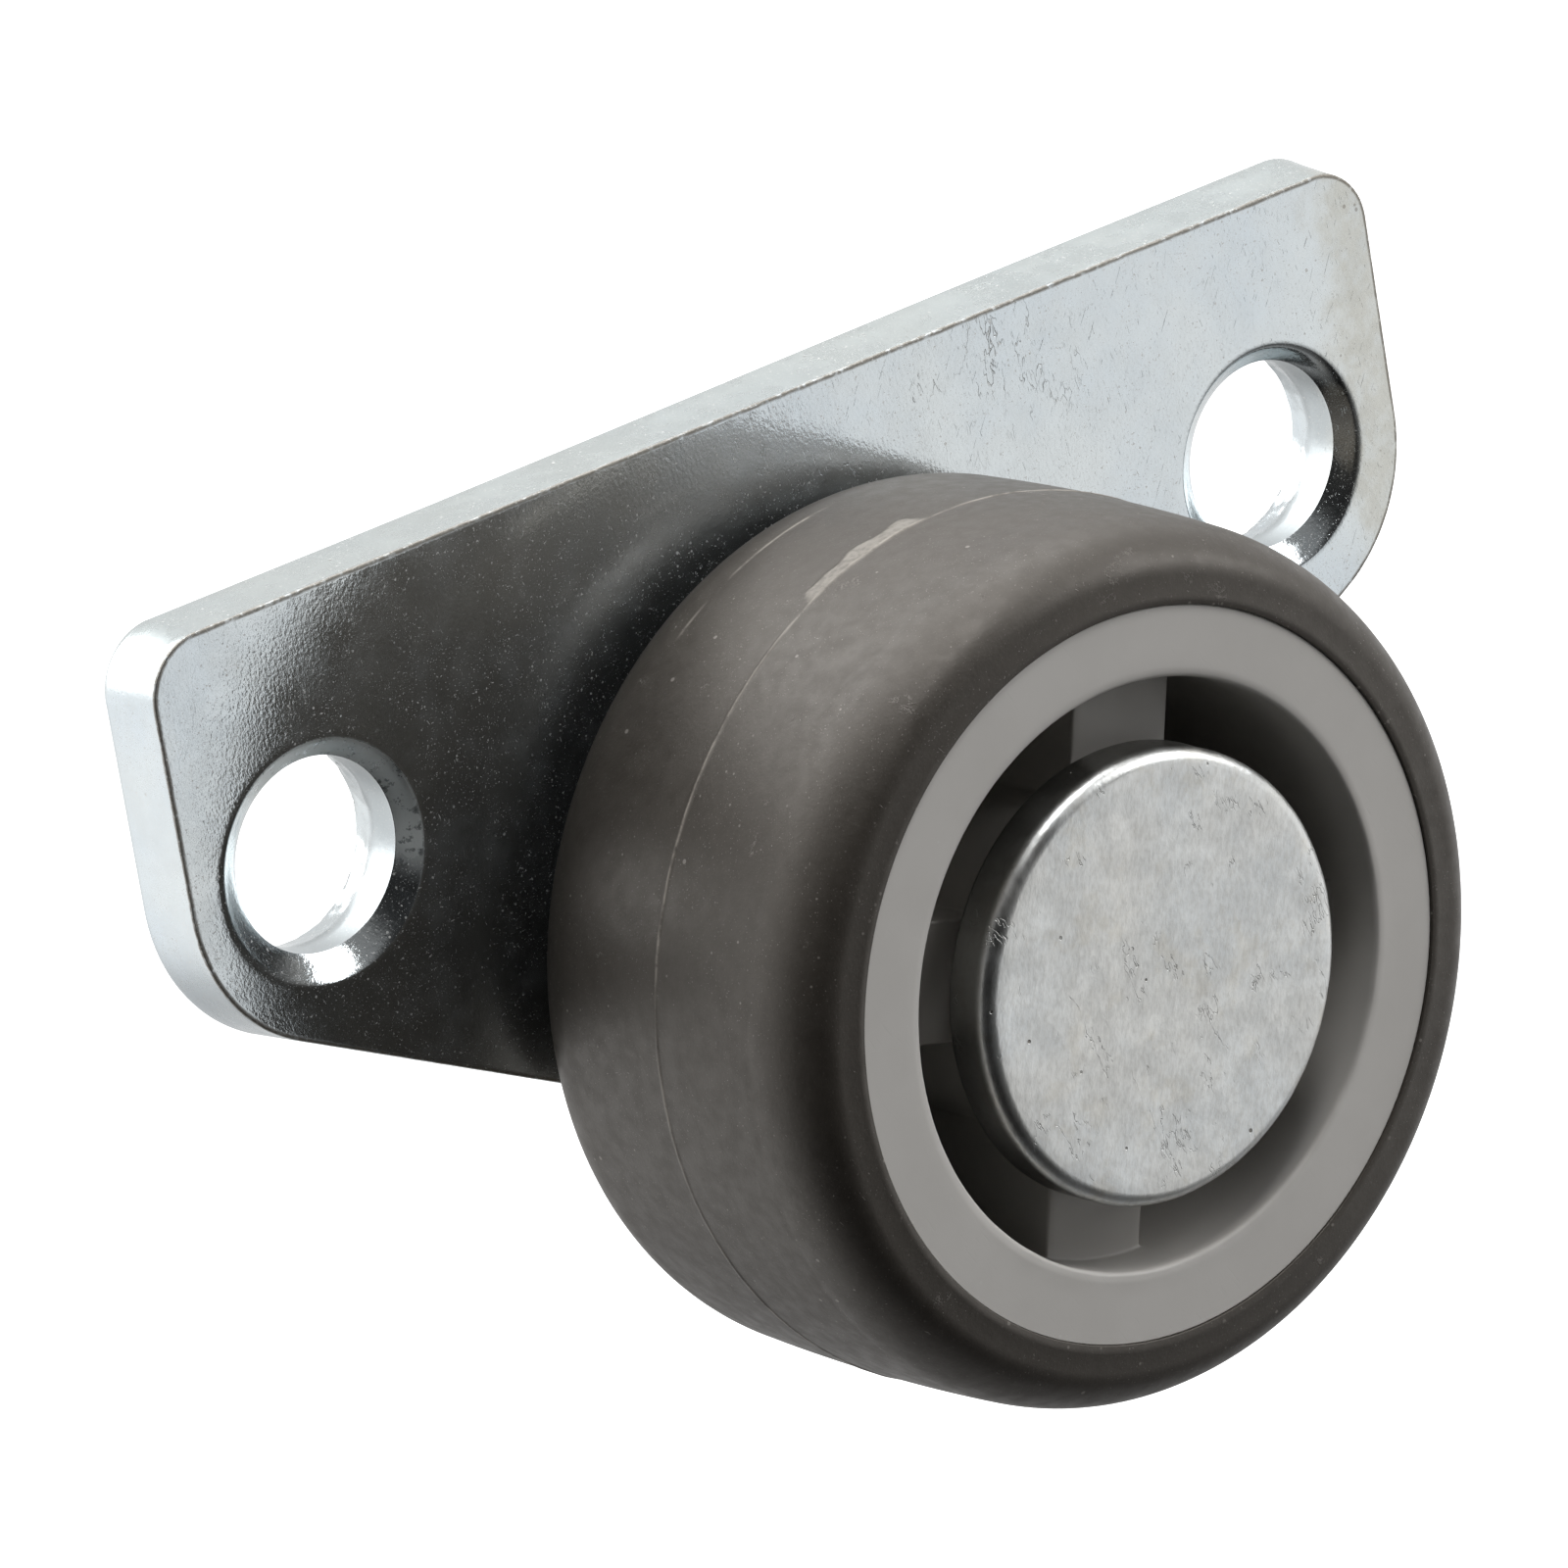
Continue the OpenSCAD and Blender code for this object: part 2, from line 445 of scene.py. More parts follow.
def screw_hole_profile(top):
    """Shallow countersink of radius top, a smooth wall and a torn zone that widens to the back."""
    lip = 0.03
    profile = [(top + 0.35, 0.0), (top + 0.2, 0.0), (top + 0.07, 0.006), (top, lip)]
    slope_steps = 6
    for k in range(1, slope_steps):
        share = k / slope_steps
        profile.append((top + (HOLE_R - top) * share, lip + (COUNTERSINK_DEPTH - lip) * share))
    profile += [(HOLE_R + 0.03, COUNTERSINK_DEPTH - 0.02), (HOLE_R, COUNTERSINK_DEPTH + 0.005)]
    profile += [(HOLE_R, COUNTERSINK_DEPTH + 0.04), (HOLE_R, 1.0), (HOLE_R, 1.4)]
    profile += [(HOLE_R, TORN_FROM - 0.09), (HOLE_R + 0.05, TORN_FROM + 0.01)]
    torn_t = PLATE_T - 0.05 - (TORN_FROM + 0.03)
    steps = 7
    for k in range(1, steps + 1):
        profile.append((HOLE_R + 0.05 + 0.1 * k / steps, TORN_FROM + 0.03 + torn_t * k / steps))
    return profile + [(HOLE_R + 0.22, PLATE_T), (HOLE_R + 0.6, PLATE_T)]


def rivet_hole_profile():
    """Straight wall round the shank, widening at the back for the tail."""
    wall = SHANK_R + 0.02
    profile = [(SHANK_R + 0.6, 0.0), (SHANK_R + 0.15, 0.0)]
    profile += [(wall, 0.1), (wall, 0.8), (wall, PLATE_T - TAIL_DEPTH)]
    profile += [(TAIL_R - 0.04, PLATE_T - 0.08), (TAIL_R + 0.05, PLATE_T)]
    return profile + [(TAIL_R + 0.5, PLATE_T)]


def mounting_plate():
    """Stamped sheet with its two screw holes and the rivet's hole."""
    shell = Shell()
    front, back = plate_side(shell)
    front_holes = []
    back_holes = []
    holes = []
    for side, top in COUNTERSINK_RADII.items():
        holes.append((Vector((side * HOLE_X, 0)), screw_hole_profile(top), 160, TORN_FROM))
    holes.append((Vector((0, AXLE_Z)), rivet_hole_profile(), 128, PLATE_T))
    for centre, profile, segments, rough_from in holes:
        near, far = plate_hole(shell, centre, profile, segments, rough_from)
        front_holes.append((near, centre + off_centre(centre), profile[0][0]))
        back_holes.append((far, centre, profile[-1][0]))
    shell.cap(front, front_holes, FACE_SPACING, FRONT_Y)
    shell.cap(back, back_holes, FACE_SPACING, FRONT_Y + PLATE_T)
    return shell.make("plate_body")


# ---------------------------------------------------------------- axle


def axle_rivet():
    """Flat head, shank and a tail that was peened into the back of the plate."""
    tail = -PLATE_T
    corners = [
        (0, tail + 0.1, 0),
        (0.9, tail + 0.1, 0.2),
        (1.25, tail + 0.02, 0.15),
        (2.6, tail + 0.02, 0.3),
        (TAIL_R - 0.25, tail + 0.05, 0.25),
        (TAIL_R - 0.07, tail + 0.17, 0.08),
        (SHANK_R, tail + TAIL_DEPTH, 0.1),
        (SHANK_R, HEAD_BACK, 0),
        (HEAD_R, HEAD_BACK, 0.22),
        (HEAD_R, RIVET_FACE, 0.46),
        (0, RIVET_FACE, 0),
    ]

    def shape(radius, height, angle):
        spot = on_axle(radius, angle, height)
        edge = hump(radius, HEAD_R - 0.6, HEAD_R, 0.5)
        edge *= hump(height, RIVET_FACE - 1.5, RIVET_FACE, 0.2)
        radius -= edge * (0.018 + 0.018 * wobble(spot, 1.6, 11) + 0.012 * wobble(spot, 0.4, 12))
        face = smooth_step(height, RIVET_FACE - 0.4, RIVET_FACE)
        height -= face * (0.008 + 0.008 * wobble(spot, 2.2, 13))
        return radius, height

    return lathe("rivet_body", subdivided(rounded(corners, 7), 0.45), 256, shape)


def axle_sleeve():
    """Distance tube on the shank, with its edges broken."""
    inner = SHANK_R + PRESS_GAP
    ends = [(inner, 0), (SLEEVE_R, 0), (SLEEVE_R, HEAD_BACK), (inner, HEAD_BACK)]
    corners = [(radius, height, 0.15) for radius, height in ends]
    return lathe("sleeve_body", subdivided(rounded(corners), 0.8), 96)


def thrust_washer():
    """Thin washer round the sleeve, between the plate and the hub."""
    inner = SLEEVE_R + PRESS_GAP
    corners = [(inner, 0, 0.1), (WASHER_R, 0, 0.12)]
    corners += [(WASHER_R, WASHER_T, 0.12), (inner, WASHER_T, 0.1)]
    return lathe("washer_body", subdivided(rounded(corners), 0.6), 128)


# ---------------------------------------------------------------- wheel


def hub_profile(bottom):
    """Closed (radius, height) loop of one cut of the hub; bottom is the floor's height."""
    steps = 7
    floor = [(RING_BORE_R + (BOSS_R - RING_BORE_R) * k / steps, bottom) for k in range(steps + 1)]
    front = [
        (RING_R, HUB_FRONT - 0.03),
        (RING_R - 0.03, HUB_FRONT),
        *((radius, HUB_FRONT) for radius in (10.6, 9.9, 9.4)),
        (RING_BORE_R + 0.13, HUB_FRONT - 0.01),
        (RING_BORE_R + 0.055, HUB_FRONT - 0.045),
        (RING_BORE_R + 0.012, HUB_FRONT - 0.11),
        (RING_BORE_R, HUB_FRONT - 0.22),
        (RING_BORE_R, RIB_FRONT + 0.7),
        (RING_BORE_R, RIB_FRONT),
    ]
    boss = [(BOSS_R, RIB_FRONT), (BOSS_R, BOSS_FRONT), (HUB_BORE_R, BOSS_FRONT)]
    back = [
        (HUB_BORE_R, BOSS_MIDDLE),
        (HUB_BORE_R, BOSS_BACK),
        (BOSS_R, BOSS_BACK),
        (BOSS_R, WEB_BACK),
        (RING_BORE_R, WEB_BACK),
        (RING_BORE_R, RIM_BACK),
        (RING_R, RIM_BACK),
        (RING_R, LOCK_FROM),
        (LOCK_R, LOCK_FROM),
        (LOCK_R, LOCK_TO),
        (RING_R, LOCK_TO),
    ]
    return front + floor + boss + back


def rib_cut(middle, offset):
    """Function giving the angle, at a radius, of a cut that runs along a rib beside its middle."""
    return lambda radius: middle + math.asin(offset / radius)


def pocket_cut(middle, following, share):
    """Function giving the angle, at a radius, of a cut in the pocket between two ribs."""

    def angle_at(radius):
        half = math.asin(RIB_W / 2 / radius)
        return (middle + half) * (1 - share) + (following - half) * share

    return angle_at


def hub_columns():
    """Radial cuts round the hub, as (floor height, function giving the cut's angle at a radius)."""
    across = 10
    between = 46
    columns = []
    for rib in range(RIB_COUNT):
        middle = math.radians(RIB_TURN + 360 * rib / RIB_COUNT)
        following = middle + 2 * math.pi / RIB_COUNT
        for k in range(across + 1):
            columns.append((RIB_FRONT, rib_cut(middle, RIB_W * (k / across - 0.5))))
        for k in range(between + 1):
            columns.append((WEB_FRONT, pocket_cut(middle, following, k / between)))
    return columns


def wheel_hub():
    """Hub with its front ring, ribs and pockets, and a burr on most of the ring's inner edge."""
    shell = Shell()
    rings = []
    for bottom, angle_at in hub_columns():
        ring = []
        for radius, height in hub_profile(bottom):
            angle = angle_at(min(max(radius, BOSS_R), RING_BORE_R))
            spot = on_axle(radius, angle, height)
            inner_edge = hump(radius, RING_BORE_R, RING_BORE_R + 0.14, 0.1)
            inner_edge *= hump(height, HUB_FRONT - 0.12, HUB_FRONT, 0.05)
            if inner_edge > 0:
                degrees = (math.degrees(angle) + 180) % 360 - 180
                burr = hump(degrees, *BURR_SPAN) * (0.55 + 0.6 * wobble(spot, 0.9, 21))
                burr += 0.2 * wobble(spot, 0.35, 22)
                height += 0.045 * inner_edge * max(burr, 0)
                radius -= 0.02 * inner_edge * max(burr, 0)
            ring.append(on_axle(radius, angle, height))
        rings.append(shell.ring(ring))
    shell.skin(rings, closed=True)
    return shell.make("hub_body", bevel=0.14)


def tyre_profile():
    """Closed (radius, height) loop: front face, shoulder, crowned tread, rear shoulder and bore."""
    shoulder_r = TYRE_R - CROWN_DROP
    front_centre = Vector((shoulder_r, TYRE_FRONT)) - FRONT_SHOULDER
    rear_centre = Vector((shoulder_r - REAR_SHOULDER.x, TYRE_BACK + REAR_SHOULDER.y))
    tread = []
    low, high = rear_centre.y, front_centre.y
    height = high
    while height > low:
        reach = (high if height > PARTING_H else low) - PARTING_H
        tread.append((TYRE_R - CROWN_DROP * ((height - PARTING_H) / reach) ** 2, height))
        near = min(abs(height - PARTING_H), abs(height - RUB_H))
        height -= 0.03 if near < 0.2 else 0.07 if near < 1.0 else 0.25
    edge = 0.04
    front_face = arc((RING_R + edge, TYRE_FRONT - 0.025 - edge), (edge, edge), 180, 90, 4)
    front_face += [(RING_R + 0.12, TYRE_FRONT - 0.01), (RING_R + 0.2, TYRE_FRONT)]
    unsloped = [(RING_R + 0.28 + 0.1 * k, TYRE_FRONT) for k in range(6)]
    unsloped += arc(front_centre, FRONT_SHOULDER, 90, 0, 32)
    front = []
    for radius, height in unsloped:
        reach = min(max((radius - RING_R - 0.2) / CONE_W, 0.0), 1.0)
        front.append((radius, height - CONE_DROP * reach * (2 - reach)))
    rear = arc(rear_centre, REAR_SHOULDER, 0, -90, 16)
    lock = [(RING_R, LOCK_FROM), (LOCK_R, LOCK_FROM), (LOCK_R, LOCK_TO), (RING_R, LOCK_TO)]
    return front_face + front + tread[1:] + rear + [(RING_R, TYRE_BACK)] + lock


def flash_patch(height, angle):
    """Scuffed flash just behind the parting line, where the mould was opened."""
    degrees = math.degrees(angle)
    along = hump(degrees, *FLASH_SPAN)
    width = 0.78 * along * (0.72 + 0.35 * wobble((degrees, 0, 0), 4.0, 31))
    return along * hump(height, PARTING_H - width, PARTING_H + 0.02, 0.07)


def tyre():
    """Tyre with a raised parting line, a patch of flash and a line rubbed on the rear shoulder."""

    def shape(radius, height, angle):
        spot = on_axle(radius, angle, height)
        if radius < RING_R + 0.01:
            return radius, height
        seam = math.exp(-(((height - PARTING_H) / 0.055) ** 2))
        ragged = 0.55 + 0.5 * wobble(spot, 1.4, 32) + 0.3 * wobble(spot, 0.4, 33)
        step = 0.012 * smooth_step(height, PARTING_H - 0.05, PARTING_H + 0.05)
        patch = flash_patch(height, angle) * (0.03 + 0.02 * wobble(spot, 0.5, 34))
        uneven = 0.012 * wobble(spot, 5.0, 35) - 0.012
        on_tread = smooth_step(radius, 12.4, 13.2)
        radius += on_tread * (0.04 * seam * max(ragged, 0) - step + patch + uneven)
        return radius, height

    def marks(radius, height, angle):
        spot = on_axle(radius, angle, height)
        degrees = math.degrees(angle)
        seam = math.exp(-(((height - PARTING_H) / 0.045) ** 2))
        seam *= max(0.75 + 0.9 * wobble(spot, 2.2, 36), 0.25)
        line = math.exp(-(((height - RUB_H) / 0.05) ** 2))
        line *= max(0.5 + 1.4 * wobble(spot, 1.0, 37), 0)
        rub = 0.8 * line * hump(degrees, *RUB_SPAN)
        return {"flash": flash_patch(height, angle), "seam": min(1.0, seam + rub)}

    return lathe("tyre_body", tyre_profile(), 640, shape, marks)


# ---------------------------------------------------------------- materials


class Finish:
    """A material being made: a Principled shader and the textures that feed it, in object space."""

    def __init__(self, name, **sockets):
        self.material = bpy.data.materials.new(name)
        self.material.use_nodes = True
        self.nodes = self.material.node_tree.nodes
        self.links = self.material.node_tree.links
        self.shader = self.nodes["Principled BSDF"]
        for socket, value in sockets.items():
            self.shader.inputs[socket.replace("_", " ")].default_value = value
        self.place = self.nodes.new("ShaderNodeTexCoord").outputs["Object"]

    def add(self, kind, inputs=None, **settings):
        """New node with the given inputs, each a value or another node's output, and settings."""
        node = self.nodes.new(kind)
        for key, value in settings.items():
            setattr(node, key, value)
        for socket, value in (inputs or {}).items():
            self.feed(node.inputs[socket], value)
        return node

    def feed(self, socket, value):
        """Links the value to the socket if it is a node's output, and otherwise sets it there."""
        if isinstance(value, bpy.types.NodeSocket):
            self.links.new(value, socket)
        elif isinstance(value, tuple) and len(value) == 3 and socket.type == "RGBA":
            socket.default_value = (*value, 1)
        else:
            socket.default_value = value

    def set(self, socket, value):
        self.feed(self.shader.inputs[socket], value)

    def stretched(self, size, stretch=(1, 1, 1), turn=(0, 0, 0), shift=0.0):
        """Coordinates in which one unit is size millimetres, drawn out along an axis by stretch."""
        scale = tuple(1 / (size * MM * s) for s in stretch)
        inputs = {"Vector": self.place}
        turned = self.add("ShaderNodeVectorRotate", inputs, rotation_type="EULER_XYZ")
        turned.inputs["Rotation"].default_value = tuple(math.radians(a) for a in turn)
        mapped = self.add("ShaderNodeMapping", {"Vector": turned.outputs[0]})
        mapped.inputs["Scale"].default_value = scale
        mapped.inputs["Location"].default_value = (shift, 1.7 * shift, 2.9 * shift)
        return mapped.outputs[0]

    def noise(self, size, detail=3.0, roughness=0.6, **coordinates):
        where = self.stretched(size, **coordinates)
        inputs = {"Vector": where, "Scale": 1.0, "Detail": detail, "Roughness": roughness}
        return self.add("ShaderNodeTexNoise", inputs).outputs["Fac"]

    def maths(self, operation, first, second=0.0, clamp=False):
        node = self.add("ShaderNodeMath", operation=operation, use_clamp=clamp)
        self.feed(node.inputs[0], first)
        self.feed(node.inputs[1], second)
        return node.outputs[0]

    def ramp(self, value, low, high, to_low=0.0, to_high=1.0):
        """to_low where the value is low, to_high where it is high, and smooth between them."""
        inputs = {"Value": value, "From Min": low, "From Max": high}
        inputs.update({"To Min": to_low, "To Max": to_high})
        return self.add("ShaderNodeMapRange", inputs, interpolation_type="SMOOTHSTEP").outputs[0]

    def mix(self, factor, first, second):
        node = self.add("ShaderNodeMix", data_type="RGBA")
        self.feed(node.inputs["Factor"], factor)
        self.feed(node.inputs[6], first)
        self.feed(node.inputs[7], second)
        return node.outputs[2]

    def times(self, *factors):
        product = factors[0]
        for factor in factors[1:]:
            product = self.maths("MULTIPLY", product, factor)
        return product

    def most(self, *values):
        top = values[0]
        for value in values[1:]:
            top = self.maths("MAXIMUM", top, value)
        return top

    def specks(self, spacing, radius, share, **coordinates):
        """Round dots of up to the given radius, in the given share of the cells of the spacing."""
        where = self.stretched(spacing, **coordinates)
        cell = self.add("ShaderNodeTexVoronoi", {"Vector": where, "Scale": 1.0})
        chance = self.add("ShaderNodeSeparateColor", {"Color": cell.outputs["Color"]})
        grown = self.ramp(chance.outputs[0], 1 - share, 1.0, 0.0, radius / spacing)
        gap = self.maths("SUBTRACT", grown, cell.outputs["Distance"])
        return self.ramp(gap, 0.0, 0.35 * radius / spacing)

    def strokes(self, size, length, turn, threshold, shift):
        """Short straight hairlines: noise drawn out upwards, turned, and cut off high up."""
        value = self.noise(size, 2.0, 0.5, stretch=(1, 1, length), turn=turn, shift=shift)
        return self.ramp(value, threshold, threshold + 0.05)

    def cracks(self, size, width, shift, **coordinates):
        """Thin wandering lines, where a noise passes its middle value."""
        value = self.noise(size, 4.0, 0.65, shift=shift, **coordinates)
        away = self.maths("ABSOLUTE", self.maths("SUBTRACT", value, 0.5))
        return self.ramp(away, width, 0.3 * width)

    def mark(self, name):
        """A mark that the mesh carries at its points."""
        return self.add("ShaderNodeAttribute", attribute_name=name).outputs["Fac"]

    def coordinate(self, axis):
        return self.add("ShaderNodeSeparateXYZ", {"Vector": self.place}).outputs[axis]

    def from_axle(self):
        """Distance from the axle's centre line."""
        parts = self.add("ShaderNodeSeparateXYZ", {"Vector": self.place}).outputs
        up = self.maths("SUBTRACT", parts["Z"], AXLE_Z * MM)
        squares = self.maths("ADD", self.times(parts["X"], parts["X"]), self.times(up, up))
        return self.maths("SQRT", squares)

    def bump(self, *layers):
        """Adds up bumps; each layer is (height texture, depth in millimetres)."""
        normal = None
        for height, depth in layers:
            inputs = {"Height": height, "Distance": abs(depth) * MM}
            node = self.add("ShaderNodeBump", inputs, invert=depth < 0)
            if normal:
                self.feed(node.inputs["Normal"], normal)
            normal = node.outputs[0]
        self.set("Normal", normal)


def plate_finish():
    """Bright zinc on stamped steel: grain, painted light on the left countersink's rim, dust and a
    stained right end.
    """
    f = Finish("bright_zinc")
    # Clouded zinc, darker on the holes' walls, and painted shade on the cut side where it faces up
    cloud = f.ramp(f.noise(7.0, 4.0), 0.35, 0.65)
    colour = f.mix(cloud, (0.585, 0.64, 0.675), (0.635, 0.675, 0.685))
    fine = f.ramp(f.noise(0.5, 4.0, 0.7), 0.3, 0.7)
    colour = f.mix(f.times(fine, 0.25), colour, (0.55, 0.575, 0.575))
    colour = f.mix(f.times(f.mark("bore"), 0.7), colour, (0.37, 0.40, 0.41))
    colour = f.mix(f.times(f.mark("upward_painted_shade"), 0.6), colour, (0.44, 0.475, 0.455))
    # Painted light: a pale rim on the left countersink
    patchy = f.ramp(f.noise(0.35, 4.0, 0.7, shift=15.0), 0.32, 0.5, 0.35, 1.0)
    rim = f.times(f.mark("worn_rim"), patchy)
    colour = f.mix(rim, colour, (0.92, 0.96, 0.95))
    # Right end stained and specked brown, on the front only, and a few dark spots anywhere
    stray = f.ramp(f.noise(3.0, 5.0), 0.2, 0.8, -1.2 * MM, 1.2 * MM)
    along = f.maths("ADD", f.coordinate("X"), stray)
    front = f.ramp(f.coordinate("Y"), (FRONT_Y + 1.2) * MM, (FRONT_Y + 0.2) * MM)
    blotches = f.ramp(f.noise(0.7, 4.0), 0.3, 0.6, 0.5, 1.0)
    stain = f.times(f.ramp(along, 21.2 * MM, 22.8 * MM), blotches, front)
    colour = f.mix(f.times(stain, 0.7), colour, (0.58, 0.57, 0.51))
    brown = f.times(f.specks(0.5, 0.09, 0.5, shift=6.0), f.ramp(along, 20.5 * MM, 22.5 * MM), front)
    spots = f.times(f.specks(1.6, 0.16, 0.4, shift=3.0), f.ramp(f.noise(2.5, 2.0), 0.52, 0.6))
    colour = f.mix(f.times(f.most(spots, f.times(brown, 0.6)), 0.85), colour, (0.16, 0.13, 0.10))
    # Hairlines on the right half; wrinkles mostly near the top, between the middle and the hole
    right_half = f.ramp(f.coordinate("X"), -4 * MM, 6 * MM, 0.1, 1.0)
    hairs = f.strokes(0.06, 10, (0, 8, 0), 0.69, 1.0)
    hairs = f.most(hairs, f.strokes(0.05, 20, (0, -32, 0), 0.72, 5.0))
    worn = f.ramp(f.noise(4.0, 3.0, shift=8.0), 0.42, 0.56)
    broken = f.ramp(f.noise(0.9, 2.0), 0.45, 0.6)
    wrinkles = f.times(f.cracks(2.4, 0.009, 2.0, stretch=(0.6, 1, 1.5)), worn, broken)
    near_top = f.ramp(f.coordinate("Z"), 3 * MM, 6.2 * MM, 0.12, 1.0)
    before_hole = f.ramp(f.coordinate("X"), 14 * MM, 9 * MM, 0.15, 1.0)
    hairs = f.times(hairs, right_half)
    wrinkles = f.times(wrinkles, right_half, near_top, before_hole)
    colour = f.mix(f.most(f.times(hairs, 0.10), f.times(wrinkles, 0.5)), colour, (0.30, 0.29, 0.27))
    # Dirt along the front edge, then dust and nicks
    uneven = f.ramp(f.noise(0.3, 4.0, 0.7, shift=19.0), 0.3, 0.5, 0.35, 1.0)
    dirt = f.times(f.ramp(f.mark("edge_dirt"), 0.15, 0.75), uneven)
    colour = f.mix(f.times(dirt, 0.85), colour, (0.25, 0.225, 0.19))
    patches = f.ramp(f.noise(3.0, 2.0, shift=4.0), 0.35, 0.55, 0.3, 1.0)
    tiny = f.times(f.ramp(f.noise(0.055, 1.0, 0.5, shift=7.0), 0.64, 0.74), 0.8)
    small = f.ramp(f.noise(0.11, 2.0, 0.6, shift=11.0), 0.66, 0.71)
    small = f.most(small, f.specks(0.22, 0.05, 0.35, shift=27.0))
    fine_dust = f.times(f.most(tiny, small), patches)
    scraped = f.ramp(f.noise(2.0, 2.0, shift=9.0), 0.47, 0.57)
    nicks = f.times(f.strokes(0.06, 7, (0, 15, 0), 0.70, 21.0), scraped)
    dust = f.times(f.most(fine_dust, f.specks(0.9, 0.08, 0.25, shift=2.0), nicks), 0.75)
    colour = f.mix(dust, colour, (0.72, 0.72, 0.70))
    f.set("Base Color", colour)
    # Gloss: haze, the painted-light rim and dust take metal away; stains, dirt, holes and the cut
    # side are duller
    haze = f.ramp(f.noise(1.8, 5.0, 0.65, shift=13.0), 0.45, 0.75, 0.03, 0.11)
    clean = f.maths("SUBTRACT", 1.0, f.most(haze, f.times(rim, 0.75)))
    f.set("Metallic", f.maths("SUBTRACT", clean, f.times(dust, 0.8), clamp=True))
    rough = f.ramp(f.noise(1.5, 5.0, 0.7), 0.3, 0.7, 0.09, 0.16)
    cut = f.times(f.mark("cut"), 0.7)
    dull = f.most(f.times(stain, 0.5), f.times(dirt, 2.0), dust, f.mark("bore"), cut, rim)
    f.set("Roughness", f.maths("ADD", rough, f.times(dull, 0.22)))
    # Relief; the first layer turns the left end's reflections a little
    grain = f.noise(0.12, 2.0, 0.6, stretch=(1, 1, 1.4), turn=(0, 10, 0))
    grain = f.times(grain, f.ramp(f.noise(5.0, 2.0, shift=9.0), 0.4, 0.6, 0.6, 1.0))
    f.bump(
        (f.ramp(f.coordinate("X"), -26 * MM, -12 * MM), -0.3),
        (f.noise(6.0, 2.0), 0.01),
        (grain, 0.007),
        (f.most(f.times(hairs, 0.5), wrinkles), -0.008),
        (spots, -0.02),
    )
    return f.material


def rivet_finish():
    """Satin zinc on a cold-headed rivet: fine grain, wandering scratches, pits and painted shade on
    the flanks.
    """
    f = Finish("satin_zinc", Metallic=1.0)
    cloud = f.ramp(f.noise(3.0, 3.0), 0.3, 0.7)
    colour = f.mix(cloud, (0.70, 0.725, 0.73), (0.74, 0.74, 0.715))
    grain = f.noise(0.16, 3.0, 0.65, stretch=(1, 1, 2.0), turn=(0, -20, 0))
    colour = f.mix(f.ramp(grain, 0.40, 0.66, 0.0, 0.5), colour, (0.55, 0.55, 0.53))
    mottle = f.ramp(f.noise(0.3, 4.0, 0.7, shift=3.0), 0.4, 0.65)
    colour = f.mix(f.times(mottle, 0.35), colour, (0.74, 0.75, 0.74))
    tint = f.times(f.ramp(f.noise(1.2, 4.0, shift=4.0), 0.52, 0.68), 0.22)
    colour = f.mix(tint, colour, (0.58, 0.53, 0.42))
    pitted = f.ramp(f.noise(2.4, 2.0, shift=6.0), 0.52, 0.62)
    pits = f.times(f.specks(0.6, 0.08, 0.4, shift=2.0), pitted)
    colour = f.mix(pits, colour, (0.22, 0.21, 0.19))
    broken = f.ramp(f.noise(1.3, 2.0, shift=5.0), 0.53, 0.62)
    scratch = f.times(f.cracks(2.2, 0.009, 9.0, stretch=(0.45, 1, 1.6), turn=(0, 15, 0)), broken)
    colour = f.mix(f.times(scratch, 0.33), colour, (0.30, 0.30, 0.28))
    # Painted shade: dark on the head's side and behind it, stopping a millimetre short of the plate
    flank_painted_shade = f.ramp(f.coordinate("Y"), (rivet_low.y + 0.25) * MM, (rivet_low.y + 0.6) * MM)
    flank_painted_shade = f.times(flank_painted_shade, f.ramp(f.coordinate("Y"), FRONT_Y * MM, (FRONT_Y - 1) * MM))
    colour = f.mix(f.times(flank_painted_shade, 0.75), colour, (0.16, 0.155, 0.145))
    f.set("Base Color", colour)
    f.set("Roughness", f.ramp(f.noise(0.8, 4.0), 0.3, 0.7, 0.30, 0.40))
    f.bump((f.noise(2.5, 2.0), 0.02), (grain, 0.008), (pits, -0.02), (scratch, -0.01))
    return f.material


